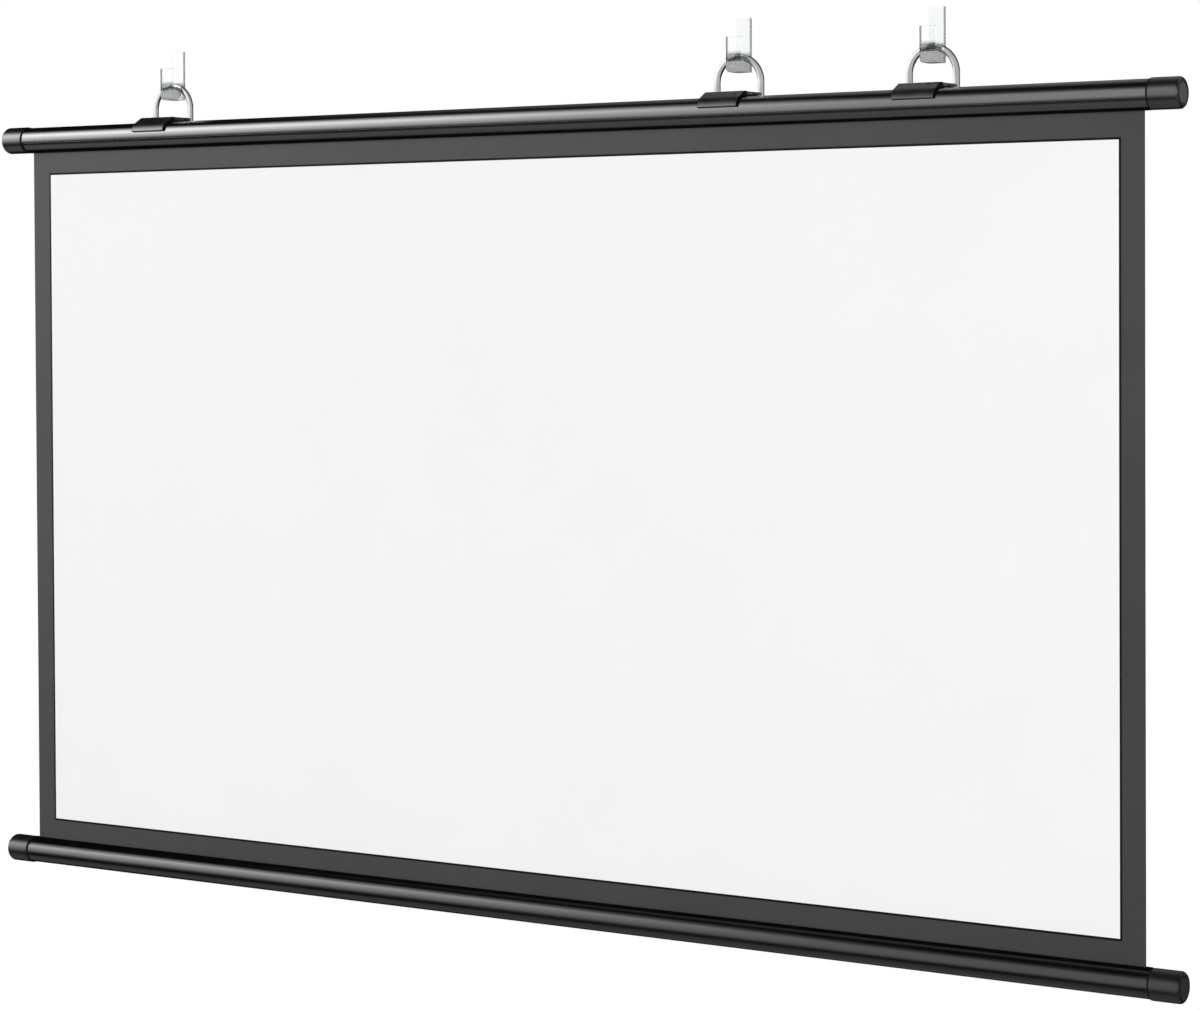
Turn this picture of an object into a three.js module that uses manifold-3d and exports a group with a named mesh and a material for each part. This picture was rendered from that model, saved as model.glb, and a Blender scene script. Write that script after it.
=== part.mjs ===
// A roll-up projector screen on three wall hooks, in millimetres.
// +Z is up, +Y points into the wall, and the picture faces -Y.
// The origin is on the wall, midway along the screen, level with the axis on which the rings swing.
import * as THREE from 'three';
import { mergeVertices } from 'three/addons/utils/BufferGeometryUtils.js';
import Module from 'manifold-3d';

const wasm = await Module();
wasm.setup();

// Picture and sheet
const pictureWidth = 1328;
const pictureHeightShare = 9 / 16;
const sideBorder = 26;
const topBorder = 26;
const bottomBorder = 23.7;
const faceLayer = 0.25;
const backLayer = 0.2;

// Extruded bars, one section but for the groove line, which is higher on the bottom bar's front
const tubeRadius = 14.2;
const tubeWall = 1.5;
const slotSideStep = 0.6;
const topGrooveAngle = 16.5;
const bottomGrooveAngle = 34;
const grooveWidth = 0.9;
const grooveDepth = 0.8;
const lipRise = 1;
const lipHalfWidth = 3.2;
const lipDepth = 1.6;
const slotWidth = 2;
const webWall = 1.2;
const beadRadius = 2.5;
const beadClearance = 0.3;
const channelClearance = 0.35;
const rollClearance = 0.35;

// End caps
const sheetToCap = 6.1;
const capLength = 32.3;
const capStep = 1;
const capMouthStep = 0.3;
const capTaper = 1.6;
const capRound = 4.2;
const capDishMargin = 5.2;
const capDishDepth = 0.7;
const plugLength = 20;
const plugWall = 2;
const plugClearance = 0.3;
const plugFloor = 3;

// Clips that carry the top bar
const clipWidth = 46;
const clipWall = 2.5;
const gripClearance = 0.3;
const gripFrontAngle = 166;
const gripBackAngle = -35;
const gripShoulderAngle = 120;
const gripTopReach = 6;
const tongueClearance = 2;
const tongueThickness = 3;
const tongueRise = 3.2;
const tongueToWall = 0.8;
const barOffset = 30;
const barrelWall = 2.1;
const cutOverrun = 3;

// Rings
const ringWidth = 58;
const ringBand = 7;
const ringThickness = 4;
const ringLegRise = 14.8;
const ringFoot = 3.6;
const ringFootRound = 3;
const ringBarRadius = 1.9;
const ringBarClearance = 0.3;

// Wall hooks and their pads
const hangerPlaceShares = [-0.38, 0.18, 0.344];
const hangerNames = ['left', 'middle', 'right'];
const hookWidth = 17;
const hookLip = 3;
const hookBack = 2.4;
const hookBase = 9.5;
const hookBaseRound = 5;
const troughRadius = 9.1;
const lipHeight = 17;
const backHeight = 36.7;
const hookTopRound = 1.1;
const seatClearance = 0.3;
const padThickness = 1;
const padMargin = 1.2;

// Facets
const tubeStep = 6;
const smallArcStep = 22.5;
const archStep = 6;
const troughStep = 10;
const capSides = 40;
const rodSides = 16;
const roundSteps = 3;

// Colours and finishes
const finishes = {
  blackTube: { color: 0x151515, roughness: 0.25, metalness: 0.5 },
  blackCap: { color: 0x262626, roughness: 0.35, metalness: 0 },
  blackClip: { color: 0x131313, roughness: 0.3, metalness: 0.4 },
  steel: { color: 0xc9cbcd, roughness: 0.15, metalness: 1 },
  clearPlastic: { color: 0xe6ecec, roughness: 0.1, metalness: 0 },
  gel: { color: 0xe4eae8, roughness: 0.4, metalness: 0 },
  whiteSheet: { color: 0xf4f4f4, roughness: 0.85, metalness: 0 },
  blackSheet: { color: 0x3a3a3a, roughness: 0.8, metalness: 0 },
  rod: { color: 0xb5b5b0, roughness: 0.5, metalness: 0 },
};

// Sizes that follow from the ones above
const sheetThickness = faceLayer + backLayer;
const sheetHalf = pictureWidth / 2 + sideBorder;
const capInner = sheetHalf + sheetToCap;
const lipReach = tubeRadius + lipRise;
const boreRadius = tubeRadius - tubeWall;
const pocketInner = beadRadius + beadClearance;
const pocketOuter = pocketInner + sheetThickness;
const channelRadius = pocketOuter + channelClearance;
const channelDrop = lipReach - lipDepth - channelRadius;
const webRadius = channelRadius + webWall;
const gripRadius = tubeRadius + gripClearance;
const clipRadius = gripRadius + clipWall;
const tongueTop = clipRadius + tongueRise;
const bearingRadius = ringBarRadius + ringBarClearance;
const barrelRadius = bearingRadius + barrelWall;
const barrelHeight = tongueTop - barrelRadius;
const archOuter = ringWidth / 2;
const archInner = archOuter - ringBand;
const tongueWidth = 2 * (archInner - tongueClearance);

// Places: the rings' plane, then the chain down from hook to ring, clip, bar and sheet
const ringY = -(padThickness + hookBack + troughRadius);
const barY = ringY - barOffset;
const ringUnderside = seatClearance - Math.sqrt(troughRadius ** 2 - (ringThickness / 2) ** 2);
const archZ = ringUnderside - Math.sqrt(archInner ** 2 - (hookWidth / 2) ** 2);
const ringBarZ = archZ - ringLegRise;
const topBarZ = ringBarZ - barrelHeight;
const pictureTop = topBarZ - lipReach - topBorder;
const pictureBottom = pictureTop - pictureWidth * pictureHeightShare;
const bottomBarZ = pictureBottom - bottomBorder - lipReach;
const bottomSweep = Math.hypot(lipReach, lipHalfWidth) + rollClearance;
const faceFront = barY - sheetThickness / 2;
const layerJoin = faceFront + faceLayer;
const sheetBackY = faceFront + sheetThickness;

const degree = Math.PI / 180;
const upright = new THREE.Matrix4().makeBasis(
  new THREE.Vector3(0, 1, 0), new THREE.Vector3(0, 0, 1), new THREE.Vector3(1, 0, 0));

// Points on an arc about (y, z), both ends included. Angles start at +Y and turn towards +Z.
function arc(y, z, radius, from, to, step) {
  const steps = Math.max(1, Math.ceil(Math.abs(to - from) / step));
  const points = [];
  for (let i = 0; i <= steps; i++) {
    const angle = (from + (to - from) * i / steps) * degree;
    points.push(new THREE.Vector2(y + radius * Math.cos(angle), z + radius * Math.sin(angle)));
  }
  return points;
}

// A full circle, without repeating its first point
function circle(y, z, radius, step) {
  return arc(y, z, radius, 0, 360, step).slice(0, -1);
}

// A quarter round on the corner at (y, z), turning from one angle to the next
function corner(y, z, radius, from, to) {
  return arc(y, z, radius, from, to, Math.abs(to - from) / roundSteps);
}

function moved(points, y, z) {
  return points.map((p) => new THREE.Vector2(p.x + y, p.y + z));
}

// An outline in the YZ plane, carried along X between two exact ends
function alongX(outline, from, to, holes = []) {
  const shape = new THREE.Shape(THREE.ShapeUtils.isClockWise(outline) ? outline.reverse() : outline);
  shape.holes = holes.map((hole) => new THREE.Path(hole));
  const depth = to - from;
  const geometry = new THREE.ExtrudeGeometry(shape, { depth, bevelEnabled: false, steps: 1 });
  const at = geometry.attributes.position;
  for (let i = 0; i < at.count; i++) at.setZ(i, at.getZ(i) > depth / 2 ? to : from);
  return geometry.applyMatrix4(upright);
}

// A profile of (radius, x) points turned about the X axis through (y, z)
function turnedOnX(profile, y, z) {
  const points = profile.map(([radius, x]) => new THREE.Vector2(radius, x));
  const geometry = new THREE.LatheGeometry(points, capSides);
  geometry.applyMatrix4(new THREE.Matrix4().makeBasis(
    new THREE.Vector3(0, 0, 1), new THREE.Vector3(1, 0, 0), new THREE.Vector3(0, 1, 0)));
  return geometry.translate(0, y, z);
}

// A flat block between exact corners
function slab(x, y, z) {
  const geometry = new THREE.BoxGeometry();
  const at = geometry.attributes.position;
  for (let i = 0; i < at.count; i++) {
    at.setXYZ(
      i,
      at.getX(i) > 0 ? x[1] : x[0],
      at.getY(i) > 0 ? y[1] : y[0],
      at.getZ(i) > 0 ? z[1] : z[0]);
  }
  return geometry;
}

function toSolid(geometry) {
  const bare = geometry.clone();
  bare.deleteAttribute('normal');
  bare.deleteAttribute('uv');
  const merged = mergeVertices(bare, 1e-4);
  const triVerts = Uint32Array.from(merged.index.array);
  const vertProperties = Float32Array.from(merged.attributes.position.array);
  return new wasm.Manifold(new wasm.Mesh({ numProp: 3, vertProperties, triVerts }));
}

function toGeometry(solid) {
  const mesh = solid.getMesh();
  const geometry = new THREE.BufferGeometry();
  geometry.setAttribute('position', new THREE.BufferAttribute(mesh.vertProperties, 3));
  geometry.setIndex(new THREE.BufferAttribute(mesh.triVerts, 1));
  geometry.computeVertexNormals();
  return geometry;
}

// The bar's outline about its own axis, with the slot below. Its round stands back a step beside the slot,
// and the groove line parts the two, so many degrees from level.
function barOutline(grooveAngle) {
  const slotRound = tubeRadius - slotSideStep;
  const grooveHalf = Math.asin(grooveWidth / 2 / tubeRadius) / degree;
  const lipAngle = Math.acos(lipHalfWidth / slotRound) / degree;
  const grooveRound = tubeRadius - grooveDepth;
  const mouth = slotWidth / 2;
  const channelAngle = Math.acos(mouth / channelRadius) / degree;
  const grooveStart = -grooveAngle - grooveHalf;
  const grooveEnd = -grooveAngle + grooveHalf;
  return [
    new THREE.Vector2(lipHalfWidth, -lipReach),
    ...arc(0, 0, slotRound, -lipAngle, grooveStart, tubeStep),
    ...arc(0, 0, grooveRound, grooveStart, grooveEnd, tubeStep),
    ...arc(0, 0, tubeRadius, grooveEnd, 180 - grooveEnd, tubeStep),
    ...arc(0, 0, grooveRound, 180 - grooveEnd, 180 - grooveStart, tubeStep),
    ...arc(0, 0, slotRound, 180 - grooveStart, 180 + lipAngle, tubeStep),
    new THREE.Vector2(-lipHalfWidth, -lipReach),
    new THREE.Vector2(-mouth, -lipReach),
    ...arc(0, -channelDrop, channelRadius, 180 + channelAngle, -channelAngle, smallArcStep),
    new THREE.Vector2(mouth, -lipReach),
  ];
}

// The bore over the bead channel: the tube's inner round, closed below by the channel's web
function boreOutline() {
  const along = (channelDrop ** 2 + boreRadius ** 2 - webRadius ** 2) / (2 * channelDrop);
  const across = Math.sqrt(boreRadius ** 2 - along ** 2);
  const boreAngle = Math.atan2(along, across) / degree;
  const webAngle = Math.atan2(along - channelDrop, across) / degree;
  return [
    ...arc(0, 0, boreRadius, -boreAngle, 180 + boreAngle, tubeStep),
    ...arc(0, -channelDrop, webRadius, 180 + webAngle, -webAngle, smallArcStep).slice(1, -1),
  ];
}

// side is 1 where the slot is below the axis and -1 where it is above
function placed(points, side, z) {
  return points.map((p) => new THREE.Vector2(p.x + barY, side * p.y + z));
}

function tube(side, z, grooveAngle) {
  const bore = placed(boreOutline(), side, z);
  return alongX(placed(barOutline(grooveAngle), side, z), -capInner, capInner, [bore]);
}

// A cap's head, with a short flare at the tube and a dished face, and a plug in the bore over the channel
function cap(end, side, z) {
  const radius = tubeRadius + capStep;
  const dish = radius - capDishMargin;
  const outer = capInner + capLength;
  const round = arc(outer - capRound, radius - capRound, capRound, 90, 0, 90 / roundSteps);
  const profile = [
    [0, capInner],
    [tubeRadius + capMouthStep, capInner],
    [radius, capInner + capTaper],
    ...round.map((p) => [p.y, p.x]),
    [dish + capDishDepth, outer],
    [dish, outer - capDishDepth],
    [0, outer - capDishDepth],
  ];
  const turned = turnedOnX(profile.map(([r, x]) => [r, end * x]), barY, z);
  const head = toSolid(end > 0 ? turned : flipped(turned));
  const top = boreRadius - plugClearance;
  const bottom = webRadius - channelDrop + plugClearance;
  const plugRadius = (top - bottom) / 2;
  const middle = z + side * (top + bottom) / 2;
  const span = (length, radiusOfPlug, deep) => {
    const ends = [end * (capInner - length), end * (capInner + deep)];
    const low = Math.min(...ends);
    const high = Math.max(...ends);
    return toSolid(alongX(circle(barY, middle, radiusOfPlug, smallArcStep), low, high));
  };
  const plug = span(plugLength, plugRadius, plugFloor);
  const core = span(plugLength + plugFloor, plugRadius - plugWall, 0);
  return toGeometry(head.add(plug).subtract(core));
}

// The same surface with its faces turned the other way
function flipped(geometry) {
  const index = geometry.index.array;
  for (let i = 0; i < index.length; i += 3) {
    [index[i + 1], index[i + 2]] = [index[i + 2], index[i + 1]];
  }
  return geometry;
}

function beadRod(side, z) {
  const middle = z - side * channelDrop;
  return alongX(circle(barY, middle, beadRadius, 360 / rodSides), -sheetHalf, sheetHalf);
}

// The sheet's sewn pocket round the bead rod, and the strip that leaves it through the slot
function pocket(side, z, stripEnd) {
  const half = sheetThickness / 2;
  const middle = z - side * channelDrop;
  const neck = Math.acos(half / pocketOuter) / degree;
  const round = arc(0, 0, pocketOuter, -neck, 180 + neck, smallArcStep);
  const outline = [
    new THREE.Vector2(sheetBackY, stripEnd),
    ...round.map((p) => new THREE.Vector2(p.x + barY, middle + side * p.y)),
    new THREE.Vector2(faceFront, stripEnd),
  ];
  return alongX(outline, -sheetHalf, sheetHalf, [circle(barY, middle, pocketInner, 360 / rodSides)]);
}

// The clip's grip round the bar. Its outside leaves the round at the shoulder and rises to the tongue's top.
function gripOutline() {
  const shoulder = gripShoulderAngle * degree;
  const startY = clipRadius * Math.cos(shoulder);
  const startZ = clipRadius * Math.sin(shoulder);
  const rise = tongueTop - startZ;
  const topStart = startY + rise / Math.tan(shoulder - Math.PI / 2);
  const backAngle = Math.acos(gripTopReach / clipRadius) / degree;
  return [
    ...arc(0, 0, gripRadius, gripBackAngle, gripFrontAngle, tubeStep),
    ...arc(0, 0, clipRadius, gripFrontAngle, gripShoulderAngle, tubeStep),
    new THREE.Vector2(topStart, tongueTop),
    new THREE.Vector2(gripTopReach, tongueTop),
    ...arc(0, 0, clipRadius, backAngle, gripBackAngle, tubeStep),
  ];
}

// A clip: the grip, a narrower tongue back between the ring's legs, and a bearing for the ring's bar
function clip(x) {
  const half = tongueWidth / 2;
  const cut = half + cutOverrun;
  const top = topBarZ + tongueTop;
  const grip = toSolid(alongX(
    moved(gripOutline(), barY, topBarZ), x - clipWidth / 2, x + clipWidth / 2));
  const tongue = toSolid(slab([x - half, x + half], [barY, -tongueToWall], [top - tongueThickness, top]));
  const barrel = toSolid(alongX(circle(ringY, ringBarZ, barrelRadius, smallArcStep), x - half, x + half));
  const bearing = toSolid(alongX(circle(ringY, ringBarZ, bearingRadius, smallArcStep), x - cut, x + cut));
  return toGeometry(grip.add(tongue).add(barrel).subtract(bearing));
}

// A flat ring: two straight legs, an arch over them and a round bar across their feet
function ring(x) {
  const foot = -ringLegRise - ringFoot;
  const outline = [
    ...corner(archOuter - ringFootRound, foot + ringFootRound, ringFootRound, -90, 0),
    ...arc(0, 0, archOuter, 0, 180, archStep),
    ...corner(ringFootRound - archOuter, foot + ringFootRound, ringFootRound, 180, 270),
    new THREE.Vector2(-archInner, foot),
    ...arc(0, 0, archInner, 180, 0, archStep),
    new THREE.Vector2(archInner, foot),
  ];
  const shape = new THREE.Shape(moved(outline, x, archZ));
  const depth = ringThickness;
  const plate = new THREE.ExtrudeGeometry(shape, { depth, bevelEnabled: false, steps: 1 });
  plate.translate(0, 0, -depth / 2).rotateX(Math.PI / 2).translate(0, ringY, 0);
  const reach = archInner + ringBand / 2;
  const bar = alongX(circle(ringY, ringBarZ, ringBarRadius, 360 / rodSides), x - reach, x + reach);
  return toGeometry(toSolid(plate).add(toSolid(bar)));
}

// The hook's J, about the trough's axis: lip in front, thick base, tall plate at the back
function hookOutline() {
  const lipFront = -troughRadius - hookLip;
  const plateBack = troughRadius + hookBack;
  const base = -troughRadius - hookBase;
  const lipRound = hookLip / 2;
  return [
    ...corner(plateBack - hookTopRound, base + hookTopRound, hookTopRound, -90, 0),
    new THREE.Vector2(plateBack, backHeight),
    ...corner(troughRadius + hookTopRound, backHeight - hookTopRound, hookTopRound, 90, 180),
    ...arc(0, 0, troughRadius, 0, -180, troughStep),
    ...arc(-troughRadius - lipRound, lipHeight - lipRound, lipRound, 0, 180, 180 / roundSteps),
    ...corner(lipFront + hookBaseRound, base + hookBaseRound, hookBaseRound, 180, 270),
  ];
}

function hook(x) {
  return alongX(moved(hookOutline(), ringY, 0), x - hookWidth / 2, x + hookWidth / 2);
}

function pad(x) {
  const half = hookWidth / 2 - padMargin;
  const low = -troughRadius - hookBase + hookTopRound + padMargin;
  return slab([x - half, x + half], [-padThickness, 0], [low, backHeight - padMargin]);
}

const part = new THREE.Group();

function add(name, geometry, finish) {
  const mesh = new THREE.Mesh(geometry, new THREE.MeshStandardMaterial(finishes[finish]));
  mesh.name = name;
  part.add(mesh);
}

// Hangers: a pad, a hook, a ring and a clip at each place along the bar
hangerNames.forEach((name, i) => {
  const x = hangerPlaceShares[i] * pictureWidth;
  add(`hook_pad_${name}`, pad(x), 'gel');
  add(`wall_hook_${name}`, hook(x), 'clearPlastic');
  add(`ring_${name}`, ring(x), 'steel');
  add(`clip_${name}`, clip(x), 'blackClip');
});

// Top bar
add('top_tube', tube(1, topBarZ, topGrooveAngle), 'blackTube');
add('top_cap_left', cap(-1, 1, topBarZ), 'blackCap');
add('top_cap_right', cap(1, 1, topBarZ), 'blackCap');
add('top_bead_rod', beadRod(1, topBarZ), 'rod');
add('border_top', pocket(1, topBarZ, pictureTop), 'blackSheet');

// Sheet between the bars: a face layer with its side borders, on a black backing
const pictureSpan = [pictureBottom, pictureTop];
const face = [faceFront, layerJoin];
const half = pictureWidth / 2;
add('screen_surface', slab([-half, half], face, pictureSpan), 'whiteSheet');
add('border_left', slab([-sheetHalf, -half], face, pictureSpan), 'blackSheet');
add('border_right', slab([half, sheetHalf], face, pictureSpan), 'blackSheet');
add('backing_sheet', slab([-sheetHalf, sheetHalf], [layerJoin, sheetBackY], pictureSpan), 'blackSheet');
add('border_bottom', slab(
  [-sheetHalf, sheetHalf], [faceFront, sheetBackY], [bottomBarZ + bottomSweep, pictureBottom]), 'blackSheet');

// Bottom bar, with its slot above
add('bottom_tube', tube(-1, bottomBarZ, bottomGrooveAngle), 'blackTube');
add('bottom_cap_left', cap(-1, -1, bottomBarZ), 'blackCap');
add('bottom_cap_right', cap(1, -1, bottomBarZ), 'blackCap');
add('bottom_bead_rod', beadRod(-1, bottomBarZ), 'rod');
add('bottom_hem', pocket(-1, bottomBarZ, bottomBarZ + lipReach), 'blackSheet');

export default part;
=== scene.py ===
import math

import bpy
import numpy as np
from mathutils import Matrix, Vector
from mathutils.geometry import tessellate_polygon


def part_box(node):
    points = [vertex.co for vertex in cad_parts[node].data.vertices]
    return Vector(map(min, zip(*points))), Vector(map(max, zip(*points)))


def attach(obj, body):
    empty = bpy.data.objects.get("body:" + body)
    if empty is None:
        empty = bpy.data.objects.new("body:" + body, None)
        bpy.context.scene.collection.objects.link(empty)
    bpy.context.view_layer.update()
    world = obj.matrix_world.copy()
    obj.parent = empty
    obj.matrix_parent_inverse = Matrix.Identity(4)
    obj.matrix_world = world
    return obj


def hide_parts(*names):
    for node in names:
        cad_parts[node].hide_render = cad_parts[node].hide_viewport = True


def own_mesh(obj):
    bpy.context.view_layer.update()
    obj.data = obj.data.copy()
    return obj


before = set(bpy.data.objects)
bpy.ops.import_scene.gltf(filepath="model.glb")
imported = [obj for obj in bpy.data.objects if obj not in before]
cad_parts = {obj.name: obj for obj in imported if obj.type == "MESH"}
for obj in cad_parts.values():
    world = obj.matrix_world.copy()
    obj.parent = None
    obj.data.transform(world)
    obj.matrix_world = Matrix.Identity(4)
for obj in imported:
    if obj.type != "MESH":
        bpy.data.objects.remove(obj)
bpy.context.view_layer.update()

# Shapes are worked out in millimetres and made in metres. +X runs along the bars, +Y into the
# wall and +Z up.
MM = 0.001
HANGERS = ("left", "middle", "right")

# The photographer's place
LENS = 94.38
SENSOR = 36.0
CAMERA_PLACE = (1.836, -2.7728, -0.2446)
CAMERA_YAW = 32.605
CAMERA_PITCH = -1.164
CAMERA_ROLL = -0.287
CAMERA_SHIFT = -0.1204
NEAR, FAR = 0.02, 60

# Studio, in metres
SOFTBOX_SIZE = (1.8, 2.2)
SOFTBOX_AIM = (0, 0, -0.4)
FLOOR = (1.6, -1.1, 0.66, -1.3)

# What gloss finishes reflect: brightness against the angle above the front horizon, in degrees.
# The left room takes over from the other one between the two window edges, which are shares of
# straight left.
AMBIENT = 0.5
PEAK = 5.1
WINDOW_EDGE = (-0.63, -0.46)
ROOM = (
    (-180, 0.0), (-173, 0.0), (-170, 0.12), (-166, 0.12), (-160, 0.0), (-142, 0.0), (-128, 0.08),
    (-113, 0.19), (-100, 0.24), (-70, 0.3), (-58, 0.25), (-48, 0.08), (-36, 0.06), (-26, 0.4),
    (-16, 0.9), (-8, 1.15), (27, 1.15), (35, 0.95), (43, 0.5), (52, 0.12), (62, 0.0), (84, 0.0),
    (100, 0.13), (115, 0.28), (135, 0.3), (150, 0.15), (162, 0.02), (170, 0.02), (174, 0.3),
    (180, 0.3))
LEFT_ROOM = (
    (-180, 0.0), (-120, 0.0), (-100, 0.2), (-70, 0.3), (-58, 0.25), (-48, 0.06), (-36, 0.0),
    (-27, 0.12), (-19, 0.45), (-13, 0.9), (-8, 1.4), (-2, 1.95), (8, 2.65), (17, 3.3), (27, 4.2),
    (36, 5.05), (43, 4.7), (46, 4.55), (52, 3.4), (57, 2.55), (62, 1.75), (68, 0.85), (80, 0.0),
    (180, 0.0))

# Bars: one section with a slot for the sheet, a groove line front and back, and a bore
TUBE_RADIUS = 14.2
TUBE_WALL = 1.5
SLOT_SIDE_STEP = 0.6
TOP_GROOVE = 16.5
BOTTOM_GROOVE = 34.0
GROOVE_WIDTH = 0.9
GROOVE_DEPTH = 0.8
LIP_REACH = 15.2
LIP_HALF = 3.2
LIP_DEPTH = 1.6
SLOT_HALF = 1.0
CHANNEL_RADIUS = 3.6
WEB_RADIUS = 4.8
CHANNEL_DROP = LIP_REACH - LIP_DEPTH - CHANNEL_RADIUS
TUBE_EDGE = 0.25
# The paint beside the slot has no gloss, as painted shade of the slot's lips, further off the
# bar's axis than the first reach, and is glossy nearer than the second
TOP_LIP_SHADE = (13.3, 12.7)
BOTTOM_LIP_SHADE = (12.8, 11.9)

# End caps. The mouth's shade is where its band without gloss, which is painted shade of the gap
# at the tube, ends, past the cap's inner end.
CAP_RADIUS = 15.2
CAP_MOUTH = 14.5
CAP_TAPER = 1.6
CAP_TAPER_EASE = (0.3, 0.5)
CAP_FINE_EDGE = 0.1
CAP_ROUND = 4.2
CAP_DISH_MARGIN = 5.2
CAP_DISH_DEPTH = 0.7
CAP_DISH_EDGE = 0.3
MOUTH_SHADE = (1.8, 2.6)
CAP_SIDES = 128
PLUG_LENGTH = 20.0
PLUG_SINK = 2.0
PLUG_CLEARANCE = 0.3
PLUG_CHAMFER = 1.0
PLUG_SIDES = 48

# Sheet. The dark line fades out between LINE_SHOWS' two distances from the sheet's back.
SHEET_HALF_THICK = 0.225
POCKET_INNER = 2.8
POCKET_OUTER = 3.25
ROD_RADIUS = 2.5
ROD_EDGE = 0.4
ROD_SIDES = 32
SHEET_WAVE = 0.35
LONG_WAVE, SHORT_WAVE = 143, 71
LONG_SHARE, SHORT_SHARE = 0.6, 0.4
SHEET_COLUMNS, BORDER_COLUMNS = 64, 2
SHEET_ROWS, BORDER_ROWS = 36, 2
LINE_WIDTH = 2.3
LINE_BLUR = 0.2
LINE_SHOWS = (0.08, 0.03)
SEAM_GAP = 0.02
GRAIN_HEIGHTS = (0.3, 1.1)

# Clips. Angles are in degrees about the bar's axis, from straight back.
CLIP_WIDTH = 46.0
CLIP_WALL = 2.5
GRIP_RADIUS = 14.5
GRIP_FRONT = 166.0
GRIP_BACK = -35.0
GRIP_SHOULDER = 120.0
GRIP_TOP_REACH = 6.0
TONGUE_WIDTH = 40.0
TONGUE_THICK = 3.0
TONGUE_TO_WALL = 0.8
TONGUE_SINK = 4.0
BARREL_RADIUS = 4.3
BEARING_RADIUS = 2.2
GRIP_CORNER = 0.9
TONGUE_CORNER = 0.8
CLIP_RIM = 0.5
CLIP_EDGE_SHARE = (0.965, 0.985)

# Rings
RING_BAND = 7.0
RING_LEG_RISE = 14.8
RING_FOOT_ROUND = 3.0
RING_BAR_RADIUS = 1.9
RING_FULLNESS = 0.7
RING_FOOT_TUCK = 0.5
RING_SIDES = 40

# Wall hooks and pads
HOOK_WIDTH = 17.0
HOOK_LIP = 3.0
HOOK_BACK = 2.4
HOOK_BASE_ROUND = 5.0
TROUGH_RADIUS = 9.1
LIP_HEIGHT = 17.0
HOOK_TOP_ROUND = 1.1
HOOK_EDGE = 0.4
HOOK_CORNER = 1.0
# The hook's rims and thick base are darkened with painted shade over these shares and millimetre
# spans
HOOK_RIM_SHARE = (0.8, 0.9)
HOOK_LIP_PAINTED_SHADE = 6
HOOK_PLATE_PAINTED_SHADE = (2, 7)
HOOK_BASE_PAINTED_SHADE = (-1, 3)
PAD_CORNER = 2.5
PAD_EDGE = 0.25
PAD_GAP = 0.05

# Outlines' corners that turn more than SHARP_TURN degrees are eased, and edges over CREASE_TURN
# are creased
SHARP_TURN = 20
EASE_SHARE = 0.45
CREASE_TURN = 38


def node_box(name):
    """A CAD node's lowest and highest corner, in millimetres."""
    low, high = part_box(name)
    return np.array(low) / MM, np.array(high) / MM


tube_low, tube_high = node_box("top_tube")
foot_high = node_box("bottom_tube")[1]
BAR_Y = (tube_low[1] + tube_high[1]) / 2
BAR_HALF = tube_high[0]
CAP_INNER = BAR_HALF
TOP_Z = tube_low[2] + LIP_REACH
BOTTOM_Z = foot_high[2] - LIP_REACH
CAP_OUTER = node_box("top_cap_right")[1][0]
LIP_INNER = node_box("wall_hook_left")[0][1] + HOOK_LIP
HOOK_AXIS_Y = LIP_INNER + TROUGH_RADIUS
picture_low, picture_high = node_box("screen_surface")
sheet_high = node_box("backing_sheet")[1]
foot_strip_low = node_box("border_bottom")[0]


def arc(radius, start, end, step=2.5, centre=(0.0, 0.0)):
    """Points centre + radius * (cos a, sin a). a runs evenly from start to end, in degrees."""
    count = max(2, math.ceil(abs(end - start) / step) + 1)
    angle = np.radians(np.linspace(start, end, count))
    return np.column_stack([centre[0] + radius * np.cos(angle), centre[1] + radius * np.sin(angle)])


def outline_of(*parts):
    """Points and arcs joined into one outline."""
    return np.concatenate([np.atleast_2d(np.asarray(part, float)) for part in parts])


def eased(outline, reach, steps=5):
    """Each corner sharper than SHARP_TURN becomes the curve (1-s)^2 A + 2s(1-s) C + s^2 B. A and B
    lie reach before and after the corner C along the outline, or EASE_SHARE of the way to the next
    corner if that is less."""
    edge = np.roll(outline, -1, 0) - outline
    length = np.linalg.norm(edge, axis=1)
    cosine = np.sum(np.roll(edge, 1, 0) * edge, 1) / (np.roll(length, 1) * length)
    sharp = np.flatnonzero(np.arccos(np.clip(cosine, -1, 1)) > math.radians(SHARP_TURN))
    place = np.concatenate([[0.0], np.cumsum(length)])
    whole = place[-1]
    closed = np.vstack([outline, outline[:1]])
    corner = place[sharp]
    gap = np.diff(corner, append=corner[0] + whole)
    trim = np.minimum(reach, EASE_SHARE * np.minimum(gap, np.roll(gap, 1)))
    start, end = (
        np.column_stack([np.interp(at % whole, place, closed[:, axis]) for axis in (0, 1)])
        for at in (corner - trim, corner + trim))
    s = np.linspace(0, 1, steps + 1)[None, :, None]
    tip = outline[sharp][:, None]
    curve = (1 - s) ** 2 * start[:, None] + 2 * s * (1 - s) * tip + s ** 2 * end[:, None]
    from_corner = np.abs((place[:-1, None] - corner + whole / 2) % whole - whole / 2)
    kept = np.min(from_corner - trim, 1) > 1e-3
    curve_place = corner[:, None] + trim[:, None] * (2 * s[0, :, 0] - 1)
    order = np.argsort(np.concatenate([place[:-1][kept], curve_place.ravel()]))
    return np.concatenate([outline[kept], curve.reshape(-1, 2)])[order]


def drawn_in(outline, distance):
    """A counterclockwise outline moved inwards: each point goes along the mean of its two edges'
    normals, as far as keeps both edges at that distance."""
    edge = np.roll(outline, -1, 0) - outline
    normal = np.column_stack([edge[:, 1], -edge[:, 0]]) / np.linalg.norm(edge, axis=1)[:, None]
    mean = normal + np.roll(normal, 1, 0)
    return outline - distance * 2 * mean / np.sum(mean * mean, 1)[:, None]


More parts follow.
